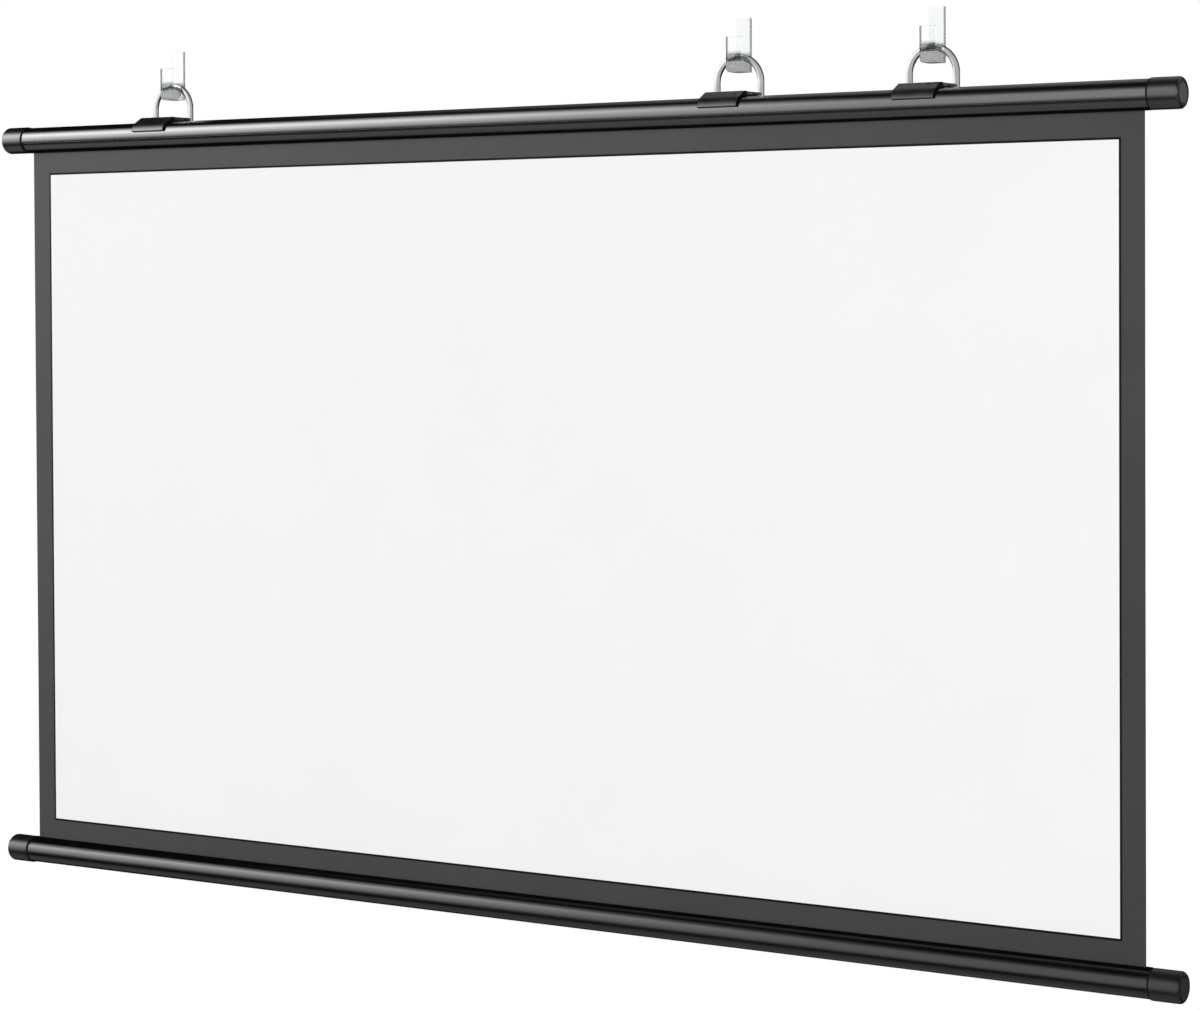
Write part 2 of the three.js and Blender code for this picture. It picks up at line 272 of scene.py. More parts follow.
def ring_quads(rings, count, start=0, stride=None):
    """Quads between neighbouring closed rings of count points, counted ring by ring."""
    stride = stride or count
    ring, point = np.meshgrid(np.arange(rings - 1), np.arange(count), indexing="ij")
    a = start + ring * stride + point
    b = start + ring * stride + (point + 1) % count
    return np.stack([a, b, b + stride, a + stride], -1).reshape(-1, 4).tolist()


def skin(rings):
    """A closed shell over a stack of rings, an array (ring, point, xyz), with flat ends."""
    count = rings.shape[1]
    last = (len(rings) - 1) * count
    faces = ring_quads(len(rings), count)
    faces.append(list(range(count))[::-1])
    faces.append(list(range(last, last + count)))
    return rings.reshape(-1, 3), faces


def plate(outline, low, high, edge, steps=4):
    """An outline in (u, v) carried along t from low to high, with rounded rims. At
    t = low + edge * (1 - cos a) the outline is drawn in by edge * (1 - sin a), and likewise at the
    other end."""
    angle = np.linspace(0, math.pi / 2, steps + 1)
    inset = edge * (1 - np.sin(angle))
    rise = edge * (1 - np.cos(angle))
    places = np.concatenate([low + rise, (high - rise)[::-1]])
    insets = np.concatenate([inset, inset[::-1]])
    rings = [np.column_stack([np.full(len(outline), place), drawn_in(outline, distance)])
             for place, distance in zip(places, insets)]
    return skin(np.array(rings))


def on_y(shell):
    """A shell carried along t with (u, v) = (z, x), so that it runs along Y."""
    points, faces = shell
    return points[:, [2, 0, 1]], faces


def pierced(outline, hole, low, high):
    """An outline in (y, z) with a hole, carried along X from low to high, with flat ends."""
    loops = [outline, hole[::-1]]
    flat = np.concatenate(loops)
    total = len(flat)
    points = np.concatenate([np.column_stack([np.full(total, x), flat]) for x in (low, high)])
    faces = ring_quads(2, len(outline), 0, total) + ring_quads(2, len(hole), len(outline), total)
    ends = tessellate_polygon([[Vector((y, z, 0)) for y, z in loop.tolist()] for loop in loops])
    corner = flat[np.array(ends)]
    side, other = corner[:, 1] - corner[:, 0], corner[:, 2] - corner[:, 0]
    turn = side[:, 0] * other[:, 1] - side[:, 1] * other[:, 0]
    ends = np.where((turn > 0)[:, None], ends, np.array(ends)[:, ::-1])
    faces += ends[:, ::-1].tolist() + (ends + total).tolist()
    return points, faces


def turned(profile, centre, sides):
    """A profile of (x, radius) rows turned about the line along X through centre:
    point (i, k) is (x_i, y + r_i cos a_k, z + r_i sin a_k)."""
    profile = np.asarray(profile, float)
    angle = np.linspace(0, 2 * math.pi, sides, endpoint=False)
    x = np.repeat(profile[:, :1], sides, 1)
    y = centre[0] + profile[:, 1:] * np.cos(angle)
    z = centre[1] + profile[:, 1:] * np.sin(angle)
    rings = np.stack([x, y, z], -1)
    return skin(rings if profile[-1, 0] > profile[0, 0] else rings[::-1])


def joined(*shells):
    """Several shells as one list of points and faces."""
    points, faces, start = [], [], 0
    for shell_points, shell_faces in shells:
        points.append(shell_points)
        faces += [[start + index for index in face] for face in shell_faces]
        start += len(shell_points)
    return np.concatenate(points), faces


def piece(name, shell, body, material, stands_for, even=True):
    """A visible piece from its points and faces, with the body it moves with, its finish and the
    CAD node it stands for."""
    points, faces = shell
    mesh = bpy.data.meshes.new(name)
    mesh.from_pydata((points * MM).tolist(), [], faces)
    mesh.update()
    mesh.shade_smooth()
    mesh.set_sharp_from_angle(angle=math.radians(CREASE_TURN))
    mesh.materials.append(material)
    made = bpy.data.objects.new(name, mesh)
    bpy.context.scene.collection.objects.link(made)
    if even:
        weighting = made.modifiers.new("even_shading", "WEIGHTED_NORMAL")
        weighting.weight = 100
        weighting.keep_sharp = True
    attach(made, body)
    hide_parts(stands_for)
    return made


def place_on_sheet(made):
    """Gives a cloth piece a UV map that is its place on the hung sheet: (x, z) in metres."""
    mesh = made.data
    points = np.empty(len(mesh.vertices) * 3)
    mesh.vertices.foreach_get("co", points)
    corner = np.empty(len(mesh.loops), int)
    mesh.loops.foreach_get("vertex_index", corner)
    place = points.reshape(-1, 3)[corner][:, [0, 2]]
    mesh.uv_layers.new(name="place_on_sheet").data.foreach_set("uv", place.ravel())
    return made


# Finishes. Noise scales are in grains a metre, and bump depths in metres.

def node(tree, kind, inputs=None, **settings):
    """A shader node. An input is a number, a colour or another node's output."""
    made = tree.nodes.new("ShaderNode" + kind)
    for name, value in settings.items():
        setattr(made, name, value)
    for name, value in (inputs or {}).items():
        if isinstance(value, bpy.types.NodeSocket):
            tree.links.new(value, made.inputs[name])
        else:
            made.inputs[name].default_value = value
    return made


def finish(name, **values):
    """A new material, its node tree and its shader, with the shader's own values set."""
    material = bpy.data.materials.new(name)
    material.use_nodes = True
    tree = material.node_tree
    shader = tree.nodes["Principled BSDF"]
    for key, value in values.items():
        shader.inputs[key.replace("_", " ")].default_value = value
    return material, tree, shader


def feed(tree, shader, **outputs):
    """Links nodes' outputs to the shader's inputs of those names."""
    for key, output in outputs.items():
        tree.links.new(output, shader.inputs[key.replace("_", " ")])


def noise(tree, where, scale, detail=2.0, roughness=0.5):
    inputs = {"Vector": where, "Scale": scale, "Detail": detail, "Roughness": roughness}
    return node(tree, "TexNoise", inputs).outputs["Fac"]


def spread(tree, value, low, high, start=0.3, end=0.7):
    """A value taken from start..end, where noise mostly lies, to low..high and held beyond."""
    inputs = {"Value": value, "From Min": start, "From Max": end, "To Min": low, "To Max": high}
    return node(tree, "MapRange", inputs).outputs["Result"]


def between(tree, value, dark, light):
    """A grey or colour between two, by the value."""
    ramp = node(tree, "ValToRGB", {"Fac": value})
    first, second = ramp.color_ramp.elements
    first.position, second.position = 0.3, 0.7
    first.color, second.color = ((*np.broadcast_to(tone, 3), 1) for tone in (dark, light))
    return ramp.outputs["Color"]


def mixed_colour(tree, share, first, second):
    """The first colour, an output, at share 0, and the second, three numbers, at share 1."""
    mix = tree.nodes.new("ShaderNodeMix")
    mix.data_type = "RGBA"
    first_socket, second_socket, result = mix.inputs[6], mix.inputs[7], mix.outputs[2]
    tree.links.new(share, mix.inputs["Factor"])
    tree.links.new(first, first_socket)
    second_socket.default_value = (*second, 1)
    return result


def math_node(tree, kind, first, second=0.0):
    made = tree.nodes.new("ShaderNodeMath")
    made.operation = kind
    for socket, value in zip(made.inputs, (first, second)):
        if isinstance(value, bpy.types.NodeSocket):
            tree.links.new(value, socket)
        else:
            socket.default_value = value
    return made.outputs["Value"]


def bumped(tree, shader, height, strength, depth):
    bump = node(tree, "Bump", {"Height": height, "Strength": strength, "Distance": depth})
    feed(tree, shader, Normal=bump.outputs["Normal"])


def object_place(tree):
    return node(tree, "TexCoord").outputs["Object"]


def split(tree, where):
    return node(tree, "SeparateXYZ", {"Vector": where}).outputs


def stretched(tree, where, scale):
    return node(tree, "Mapping", {"Vector": where, "Scale": scale}).outputs["Vector"]


def marked_across(tree):
    """The piece's own attribute "across", from -1 to 1 over its width."""
    return node(tree, "Attribute", attribute_name="across").outputs["Fac"]


def gloss_where(tree, shader, painted, coat):
    """Gloss on the body and its clear coat where painted is 1, and none where it is 0; the paint is
    there either way.
    """
    feed(tree, shader,
         Specular_IOR_Level=math_node(tree, "MULTIPLY", painted, 0.5),
         Coat_Weight=math_node(tree, "MULTIPLY", painted, coat))


def gloss_black_paint(name, gloss, lip_shade):
    """Gloss paint on the extruded bars: fine orange peel over faint die lines along the bar. The
    lips beside the slot, on the side of each bar that faces the other, have no gloss: painted
    shade."""
    material, tree, shader = finish(name, IOR=gloss, Coat_Roughness=0.1, Coat_IOR=gloss)
    place = object_place(tree)
    die_lines = noise(tree, stretched(tree, place, (1.5, 420, 420)), 1.0, 3.0)
    peel = noise(tree, place, 620, 2.0)
    cloud = noise(tree, place, 24, 3.0)
    middle, half = (TOP_Z + BOTTOM_Z) / 2, (TOP_Z - BOTTOM_Z) / 2
    from_middle = math_node(tree, "SUBTRACT", split(tree, place)["Z"], middle * MM)
    # No gloss on the lips beside the slot: painted shade of the slot's lips
    matt, glossy = ((half - reach) * MM for reach in lip_shade)
    painted = spread(tree, math_node(tree, "ABSOLUTE", from_middle), 0.0, 1.0, matt, glossy)
    gloss_where(tree, shader, painted, 1.0)
    feed(tree, shader,
         Base_Color=between(tree, cloud, 0.002, 0.004),
         Roughness=spread(tree, die_lines, 0.14, 0.22))
    relief = math_node(tree, "ADD", math_node(tree, "MULTIPLY", die_lines, 0.5), peel)
    bumped(tree, shader, relief, 0.12, 0.00006)
    return material


def satin_moulded_black(name, gloss, skin_gloss):
    """Satin moulded plastic of the end caps: spark-eroded grain, and at the mouth a band without
    gloss, painted shade of the gap at the tube.
    """
    material, tree, shader = finish(name, IOR=gloss, Coat_Roughness=0.2, Coat_IOR=skin_gloss)
    place = object_place(tree)
    grain = noise(tree, place, 1500, 3.0, 0.6)
    cloud = noise(tree, place, 60, 2.0)
    from_middle = math_node(tree, "ABSOLUTE", split(tree, place)["X"])
    # A band without gloss at the mouth: painted shade of the gap between cap and tube
    matt, glossy = ((CAP_INNER + reach) * MM for reach in MOUTH_SHADE)
    gloss_where(tree, shader, spread(tree, from_middle, 0.0, 1.0, matt, glossy), 0.6)
    feed(tree, shader,
         Base_Color=between(tree, cloud, 0.008, 0.013),
         Roughness=spread(tree, grain, 0.18, 0.27))
    bumped(tree, shader, grain, 0.2, 0.0001)
    return material


def gloss_black_steel():
    """Gloss paint on the clips' bent sheet steel, without gloss near its two side edges."""
    material, tree, shader = finish("gloss_black_steel", IOR=1.7, Coat_Roughness=0.15)
    place = object_place(tree)
    peel = noise(tree, place, 700, 2.0)
    cloud = noise(tree, place, 90, 3.0)
    from_middle = math_node(tree, "ABSOLUTE", marked_across(tree))
    gloss_where(tree, shader, spread(tree, from_middle, 1.0, 0.0, *CLIP_EDGE_SHARE), 0.6)
    feed(tree, shader,
         Base_Color=between(tree, cloud, 0.008, 0.013),
         Roughness=spread(tree, cloud, 0.2, 0.3))
    bumped(tree, shader, peel, 0.14, 0.00006)
    return material


def polished_steel():
    """Polished, plated steel of the rings: faint polishing lines and a slightly uneven gloss."""
    material, tree, shader = finish("polished_steel", Metallic=1.0)
    place = object_place(tree)
    lines = noise(tree, stretched(tree, place, (900, 120, 160)), 1.0, 3.0)
    cloud = noise(tree, place, 110, 2.0)
    feed(tree, shader,
         Base_Color=between(tree, cloud, (0.32, 0.325, 0.33), (0.4, 0.405, 0.41)),
         Roughness=spread(tree, lines, 0.07, 0.17))
    bumped(tree, shader, lines, 0.08, 0.00005)
    return material


def clear_moulding():
    """Clear moulded plastic of the hooks. Painted shade darkens it in the thick base, along the
    lip's left rim and along the wall plate's right rim."""
    material, tree, shader = finish("clear_moulding", Transmission_Weight=1.0, IOR=1.22)
    place = object_place(tree)
    axes = split(tree, place)
    across = marked_across(tree)
    # Painted shade along the lip's left rim and the plate's right rim, and low in the thick base
    lip_start, lip_end = LIP_INNER, LIP_INNER + HOOK_LIP_PAINTED_SHADE
    plate_start, plate_end = (HOOK_AXIS_Y + reach for reach in HOOK_PLATE_PAINTED_SHADE)
    left_rim_shade = math_node(tree, "MULTIPLY",
                         spread(tree, across, 1.0, 0.0, -HOOK_RIM_SHARE[1], -HOOK_RIM_SHARE[0]),
                         spread(tree, axes["Y"], 1.0, 0.0, lip_start * MM, lip_end * MM))
    right_rim_shade = math_node(tree, "MULTIPLY",
                          spread(tree, across, 0.0, 1.0, *HOOK_RIM_SHARE),
                          spread(tree, axes["Y"], 0.0, 1.0, plate_start * MM, plate_end * MM))
    base_start, base_end = (height * MM for height in HOOK_BASE_PAINTED_SHADE)
    base = spread(tree, axes["Z"], 0.72, 0.0, base_start, base_end)
    # The painted shade is the strongest of the three; it mixes the clear colour towards dark grey
    depth = math_node(tree, "MAXIMUM", base, math_node(tree, "MAXIMUM", left_rim_shade, right_rim_shade))
    flow = noise(tree, place, 70, 2.0)
    clear = between(tree, flow, (0.95, 0.965, 0.965), (0.985, 0.99, 0.99))
    feed(tree, shader,
         Base_Color=mixed_colour(tree, depth, clear, (0.16, 0.165, 0.165)),
         Roughness=spread(tree, flow, 0.02, 0.07))
    bumped(tree, shader, flow, 0.1, 0.0003)
    return material


def clear_gel():
    """The clear adhesive pads: soft gel with a faint haze of tiny bubbles."""
    material, tree, shader = finish("clear_gel", Transmission_Weight=1.0, IOR=1.12)
    bubbles = noise(tree, object_place(tree), 900, 3.0)
    feed(tree, shader,
         Base_Color=between(tree, bubbles, 0.93, 0.97),
         Roughness=spread(tree, bubbles, 0.15, 0.35))
    bumped(tree, shader, bubbles, 0.2, 0.0001)
    return material


def cloth_grain(tree):
    """The coated cloth's grain: fine threads both ways, broken up by the coating. Returns the
    place on the sheet, the grain's height and a slow cloud."""
    place = node(tree, "UVMap", uv_map="place_on_sheet").outputs["UV"]
    inputs = {"Vector": place, "Scale": 175.0, "Distortion": 1.2, "Detail": 1.0}
    across, upright = (
        node(tree, "TexWave", inputs, bands_direction=way).outputs["Fac"] for way in "XY")
    threads = math_node(tree, "MULTIPLY", across, upright)
    coating = noise(tree, place, 900, 3.0)
    cloud = noise(tree, place, 7, 4.0, 0.6)
    height = math_node(tree, "ADD", math_node(tree, "MULTIPLY", threads, 0.5), coating)
    return place, height, cloud


def projection_white():
    """Matt white projection coating."""
    material, tree, shader = finish("projection_white", IOR=1.4)
    _, height, cloud = cloth_grain(tree)
    feed(tree, shader,
         Base_Color=between(tree, cloud, (0.868, 0.868, 0.87), (0.88, 0.88, 0.88)),
         Roughness=spread(tree, height, 0.75, 0.9, *GRAIN_HEIGHTS))
    bumped(tree, shader, height, 0.12, 0.00012)
    return material


def border_black():
    """Black border print with a low sheen, and on its front a darker line, LINE_WIDTH wide, along
    the edge of the white picture."""
    material, tree, shader = finish("border_black", IOR=1.5)
    place, height, cloud = cloth_grain(tree)
    axes = split(tree, place)
    width = (picture_high[0] + LINE_WIDTH) * MM
    beside = math_node(tree, "SUBTRACT", math_node(tree, "ABSOLUTE", axes["X"]), width)
    above = math_node(tree, "SUBTRACT", axes["Y"], (picture_high[2] + LINE_WIDTH) * MM)
    below = math_node(tree, "SUBTRACT", (picture_low[2] - LINE_WIDTH) * MM, axes["Y"])
    outside = math_node(tree, "MAXIMUM", beside, math_node(tree, "MAXIMUM", above, below))
    beside_picture = spread(tree, outside, 1.0, 0.0, -LINE_BLUR * MM, LINE_BLUR * MM)
    shown, hidden = ((sheet_high[1] - reach) * MM for reach in LINE_SHOWS)
    at_front = spread(tree, split(tree, object_place(tree))["Y"], 1.0, 0.0, shown, hidden)
    line = math_node(tree, "MULTIPLY", beside_picture, at_front)
    grey = between(tree, cloud, (0.019, 0.019, 0.02), (0.025, 0.025, 0.026))
    feed(tree, shader,
         Base_Color=mixed_colour(tree, line, grey, (0.003, 0.003, 0.003)),
         Specular_IOR_Level=spread(tree, line, 0.5, 0.1, 0.0, 1.0),
         Roughness=spread(tree, height, 0.38, 0.48, *GRAIN_HEIGHTS))
    bumped(tree, shader, height, 0.12, 0.00012)
    return material


def backing_black():
    """The sheet's back: matt black coating with the cloth's grain showing through."""
    material, tree, shader = finish("backing_black", IOR=1.45)
    _, height, cloud = cloth_grain(tree)
    feed(tree, shader,
         Base_Color=between(tree, cloud, 0.018, 0.026),
         Roughness=spread(tree, height, 0.62, 0.78, *GRAIN_HEIGHTS))
    bumped(tree, shader, height, 0.2, 0.00015)
    return material


def rod_plastic():
    """Plain extruded rod: drawn lines along it."""
    material, tree, shader = finish("rod_plastic", IOR=1.5)
    lines = noise(tree, stretched(tree, object_place(tree), (3, 700, 700)), 1.0, 2.0)
    feed(tree, shader,
         Base_Color=between(tree, lines, (0.4, 0.4, 0.38), (0.5, 0.5, 0.48)),
         Roughness=spread(tree, lines, 0.4, 0.55))
    bumped(tree, shader, lines, 0.2, 0.0001)
    return material


top_paint = gloss_black_paint("gloss_black_paint", 1.8, TOP_LIP_SHADE)
bottom_paint = gloss_black_paint("black_paint", 1.42, BOTTOM_LIP_SHADE)
top_cap_plastic = satin_moulded_black("satin_moulded_black", 1.75, 1.6)
bottom_cap_plastic = satin_moulded_black("dull_moulded_black", 1.42, 1.38)
clip_paint = gloss_black_steel()
steel = polished_steel()
clear = clear_moulding()
gel = clear_gel()
white = projection_white()
border = border_black()
backing = backing_black()
rod = rod_plastic()


# Camera, light and floor

def place_camera():
    yaw, pitch, roll = (math.radians(angle) for angle in (CAMERA_YAW, CAMERA_PITCH, CAMERA_ROLL))
    forward = Vector((
        -math.sin(yaw) * math.cos(pitch), math.cos(yaw) * math.cos(pitch), math.sin(pitch)))
    level = forward.cross(Vector((0, 0, 1))).normalized()
    upright = level.cross(forward)
    right = math.cos(roll) * level + math.sin(roll) * upright
    up = math.cos(roll) * upright - math.sin(roll) * level
    data = bpy.data.cameras.new("photo_view")
    data.lens = LENS
    data.sensor_width = SENSOR
    data.shift_y = CAMERA_SHIFT
    data.clip_start, data.clip_end = NEAR, FAR
    camera = bpy.data.objects.new("photo_view", data)
    turn = Matrix((right, up, -forward)).transposed().to_4x4()
    camera.matrix_world = Matrix.Translation(CAMERA_PLACE) @ turn
    bpy.context.scene.collection.objects.link(camera)
    bpy.context.scene.camera = camera


def soft_light(name, place, watts):
    """A softbox that faces the screen. Its light doesn't show as a patch in the gloss."""
    data = bpy.data.lights.new(name, "AREA")
    data.shape = "RECTANGLE"
    data.size, data.size_y = SOFTBOX_SIZE
    data.energy = watts
    light = bpy.data.objects.new(name, data)
    light.location = place
    aim = Vector(SOFTBOX_AIM) - Vector(place)
    light.rotation_euler = aim.to_track_quat("-Z", "Y").to_euler()
    light.visible_glossy = False
    bpy.context.scene.collection.objects.link(light)


def profile_of(tree, turn, stops):
    """The brightness at an angle, on straight lines between the stops."""
    ramp = node(tree, "ValToRGB", {"Fac": turn})
    elements = ramp.color_ramp.elements
    while len(elements) < len(stops):
        elements.new(0.5)
    for element, (angle, level) in zip(elements, stops):
        element.position = (angle + 180) / 360
        element.color = (level / PEAK,) * 3 + (1,)
    return math_node(tree, "MULTIPLY", ramp.outputs["Color"], PEAK)


def mixed(tree, share, first, second):
    """first + share * (second - first)."""
    step = math_node(tree, "SUBTRACT", second, first)
    return math_node(tree, "ADD", first, math_node(tree, "MULTIPLY", share, step))


def light_studio():
    """A white room. The camera and clear plastic see it white, cloth gets its soft light,
    and gloss finishes reflect a dark ceiling, a bright front wall and a window on the left."""
    world = bpy.data.worlds.new("white_room")
    bpy.context.scene.world = world
    world.use_nodes = True
    tree = world.node_tree
    path = node(tree, "LightPath").outputs
    axes = split(tree, node(tree, "TexCoord").outputs["Generated"])
    angle = math_node(tree, "ARCTAN2", axes["Z"], math_node(tree, "MULTIPLY", axes["Y"], -1.0))
    turn = spread(tree, angle, 0.0, 1.0, -math.pi, math.pi)
    leftness = spread(tree, axes["X"], 1.0, 0.0, *WINDOW_EDGE)
    right, left = profile_of(tree, turn, ROOM), profile_of(tree, turn, LEFT_ROOM)
    reflected = mixed(tree, leftness, right, left)
    lit = mixed(tree, path["Is Glossy Ray"], AMBIENT, reflected)
    seen = math_node(tree, "MAXIMUM", path["Is Camera Ray"], path["Is Transmission Ray"])
    background = tree.nodes["Background"]
    feed(tree, background, Strength=mixed(tree, seen, lit, 1.0))
    background.inputs["Color"].default_value = (1, 1, 1, 1)


def lay_floor():
    """A pale floor below the screen, as wide as the lamps' light on it."""
    side, front, back, z = FLOOR
    mesh = bpy.data.meshes.new("studio_floor")
    corners = [(-side, front, z), (side, front, z), (side, back, z), (-side, back, z)]
    mesh.from_pydata(corners, [], [(0, 1, 2, 3)])
    material, tree, shader = finish("pale_floor", Roughness=0.8)
    cloud = noise(tree, object_place(tree), 3, 2.0)
    feed(tree, shader, Base_Color=between(tree, cloud, 0.8, 0.83))
    mesh.materials.append(material)
    floor = bpy.data.objects.new("studio_floor", mesh)
    floor.visible_glossy = False
    bpy.context.scene.collection.objects.link(floor)


place_camera()
light_studio()
lay_floor()
soft_light("left_softbox", (-2.9, -3.2, 0.9), 74)
soft_light("right_softbox", (2.9, -3.4, 0.3), 76)


# Sheet

def grid_layer(x_range, z_range, front, back, columns, rows):
    """A thin closed layer: point (i, j) is (x_j, front + w, z_i) and (x_j, back + w, z_i). The
    wave w is SHEET_WAVE * sin(pi t) times a long and a short sine across, added in their shares.
    t runs from 0 at the picture's lower edge to 1 at its upper edge."""
    x = np.linspace(*x_range, columns + 1)
    z = np.linspace(*z_range, rows + 1)
    grid_x, grid_z = np.meshgrid(x, z)
    share = (grid_z - picture_low[2]) / (picture_high[2] - picture_low[2])
    long_wave = np.sin(grid_x / LONG_WAVE + 0.8)
    short_wave = np.sin(grid_x / SHORT_WAVE + 3.1 * share)
    ripple = long_wave * LONG_SHARE + short_wave * SHORT_SHARE
    wave = SHEET_WAVE * np.sin(math.pi * np.clip(share, 0, 1)) * ripple
    sides = [np.stack([grid_x, y + wave, grid_z], -1).reshape(-1, 3) for y in (front, back)]
    points = np.concatenate(sides)
    width = columns + 1
    half = len(sides[0])
    row, column = np.meshgrid(np.arange(rows), np.arange(columns), indexing="ij")
    a = (row * width + column).ravel()
    quads = np.stack([a, a + 1, a + 1 + width, a + width], 1)
    across = np.arange(columns)
    upward = np.arange(rows) * width
    top = rows * width
    rims = [
        np.stack([across, across + half, across + 1 + half, across + 1], 1),
        np.stack([top + across + 1, top + across + 1 + half, top + across + half, top + across], 1),
        np.stack([upward, upward + width, upward + width + half, upward + half], 1),
        np.stack([upward + columns + half, upward + columns + width + half,
                  upward + columns + width, upward + columns], 1),
    ]
    faces = np.concatenate([quads, quads[:, ::-1] + half, *rims])
    return points, faces.tolist()


def pocket_outline(reach):
    """The sewn pocket round the rod and the strip down out of it, about the bar's axis."""
    neck = math.degrees(math.acos(SHEET_HALF_THICK / POCKET_OUTER))
    return outline_of(
        (SHEET_HALF_THICK, -reach),
        arc(POCKET_OUTER, -neck, 180 + neck, 6, (0, -CHANNEL_DROP)),
        (-SHEET_HALF_THICK, -reach))


def set_on_bar(outline, side, z):
    """An outline about a bar's axis moved to the bar, as it is for side 1 or else turned over."""
    flipped = outline if side > 0 else (outline * (1, -1))[::-1]
    return flipped + (BAR_Y, z)


def hang_sheet():
    half = sheet_high[0]
    front, join, back = picture_low[1], picture_high[1], sheet_high[1]
    heights = (picture_low[2], picture_high[2])
    layers = [
        ("white_picture", (picture_low[0], picture_high[0]), (front, join), SHEET_COLUMNS,
         "white_sheet", white, "screen_surface"),
        ("left_side_border", (-half, picture_low[0]), (front, join), BORDER_COLUMNS,
         "black_border", border, "border_left"),
        ("right_side_border", (picture_high[0], half), (front, join), BORDER_COLUMNS,
         "black_border", border, "border_right"),
        ("black_backing", (-half, half), (join, back), SHEET_COLUMNS,
         "black_backing", backing, "backing_sheet"),
    ]
    pieces = {}
    for name, across, depth, columns, slot, material, stands_for in layers:
        shell = grid_layer(across, heights, *depth, columns, SHEET_ROWS)
        made = piece(name, shell, "top_bar", material, stands_for, even=False)
        place_on_sheet(made)
        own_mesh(made)
        pieces[name] = made
    eye = arc(POCKET_INNER, 0, 360, 6, (0, -CHANNEL_DROP))[:-1]
    top_reach = TOP_Z - heights[1]
    foot_reach = foot_strip_low[2] - BOTTOM_Z
    pocket, hole = (set_on_bar(outline, 1, TOP_Z) for outline in (pocket_outline(top_reach), eye))
    shell = pierced(pocket, hole, -half, half)
    top = piece("top_border_and_pocket", shell, "top_bar", border, "border_top")
    between_seams = (foot_strip_low[2] + SEAM_GAP, heights[0] - SEAM_GAP)
    shell = grid_layer((-half, half), between_seams, front, back, SHEET_COLUMNS, BORDER_ROWS)
    foot = piece("bottom_border", shell, "sheet_foot", border, "border_bottom",
                 even=False)
    pocket, hole = (
        set_on_bar(outline, -1, BOTTOM_Z) for outline in (pocket_outline(foot_reach), eye))
    shell = pierced(pocket, hole, -half, half)
    hem = piece("bottom_pocket", shell, "bottom_bar", border, "bottom_hem")
    for made in (top, foot, hem):
        place_on_sheet(made)
    for made in (*pieces.values(), top, foot, hem):
        made.visible_glossy = False


# Bars

def bar_outline(groove):
    """The bar's outline about its axis with the slot below: its round, a groove line groove
    degrees from level, the round beside the slot a step further in, the lips, and the channel that
    holds the rod."""
    slot_round = TUBE_RADIUS - SLOT_SIDE_STEP
    half = math.degrees(math.asin(GROOVE_WIDTH / 2 / TUBE_RADIUS))
    lip = math.degrees(math.acos(LIP_HALF / slot_round))
    mouth = math.degrees(math.acos(SLOT_HALF / CHANNEL_RADIUS))
    start, end = -groove - half, -groove + half
    groove_round = TUBE_RADIUS - GROOVE_DEPTH
    return eased(outline_of(
        (LIP_HALF, -LIP_REACH),
        arc(slot_round, -lip, start),
        arc(groove_round, start, end),
        arc(TUBE_RADIUS, end, 180 - end),
        arc(groove_round, 180 - end, 180 - start),
        arc(slot_round, 180 - start, 180 + lip),
        (-LIP_HALF, -LIP_REACH),
        (-SLOT_HALF, -LIP_REACH),
        arc(CHANNEL_RADIUS, 180 + mouth, -mouth, 8, (0, -CHANNEL_DROP)),
        (SLOT_HALF, -LIP_REACH)), TUBE_EDGE)


def bore_outline():
    """The bore over the channel: the tube's inner round, closed below by the channel's web."""
    radius = TUBE_RADIUS - TUBE_WALL
    along = (CHANNEL_DROP ** 2 + radius ** 2 - WEB_RADIUS ** 2) / (2 * CHANNEL_DROP)
    across = math.sqrt(radius ** 2 - along ** 2)
    bore = math.degrees(math.atan2(along, across))
    web = math.degrees(math.atan2(along - CHANNEL_DROP, across))
    return outline_of(
        arc(radius, -bore, 180 + bore, 5),
        arc(WEB_RADIUS, 180 + web, -web, 12, (0, -CHANNEL_DROP))[1:-1])


def cap_shell(end, side, z):
    """A cap: a short flare at the tube's mouth, a straight head, a rounded rim and a dished face.
    Its plug fills the bore over the channel."""
    dish = CAP_RADIUS - CAP_DISH_MARGIN
    floor = CAP_OUTER - CAP_DISH_DEPTH
    taper = CAP_INNER + CAP_TAPER
    profile = outline_of(
        (CAP_INNER, CAP_MOUTH),
        (CAP_INNER + CAP_FINE_EDGE, CAP_MOUTH + CAP_FINE_EDGE),
        (taper - CAP_TAPER_EASE[0], CAP_RADIUS - CAP_FINE_EDGE),
        (taper + CAP_TAPER_EASE[1], CAP_RADIUS),
        arc(CAP_ROUND, 90, 0, 6, (CAP_OUTER - CAP_ROUND, CAP_RADIUS - CAP_ROUND)),
        (CAP_OUTER, dish + CAP_DISH_DEPTH + CAP_DISH_EDGE),
        (CAP_OUTER - CAP_FINE_EDGE, dish + CAP_DISH_DEPTH),
        (floor + CAP_FINE_EDGE, dish),
        (floor, dish - CAP_DISH_EDGE))
    top = TUBE_RADIUS - TUBE_WALL - PLUG_CLEARANCE
    bottom = WEB_RADIUS - CHANNEL_DROP + PLUG_CLEARANCE
    radius = (top - bottom) / 2
    tip = CAP_INNER - PLUG_LENGTH
    plug = outline_of(
        (CAP_INNER + PLUG_SINK, radius),
        (tip + PLUG_CHAMFER, radius),
        (tip, radius - PLUG_CHAMFER))
    flip = np.array([end, 1])
    head = turned(profile * flip, (BAR_Y, z), CAP_SIDES)
    peg = turned(plug * flip, (BAR_Y, z + side * (top + bottom) / 2), PLUG_SIDES)
    return joined(head, peg)


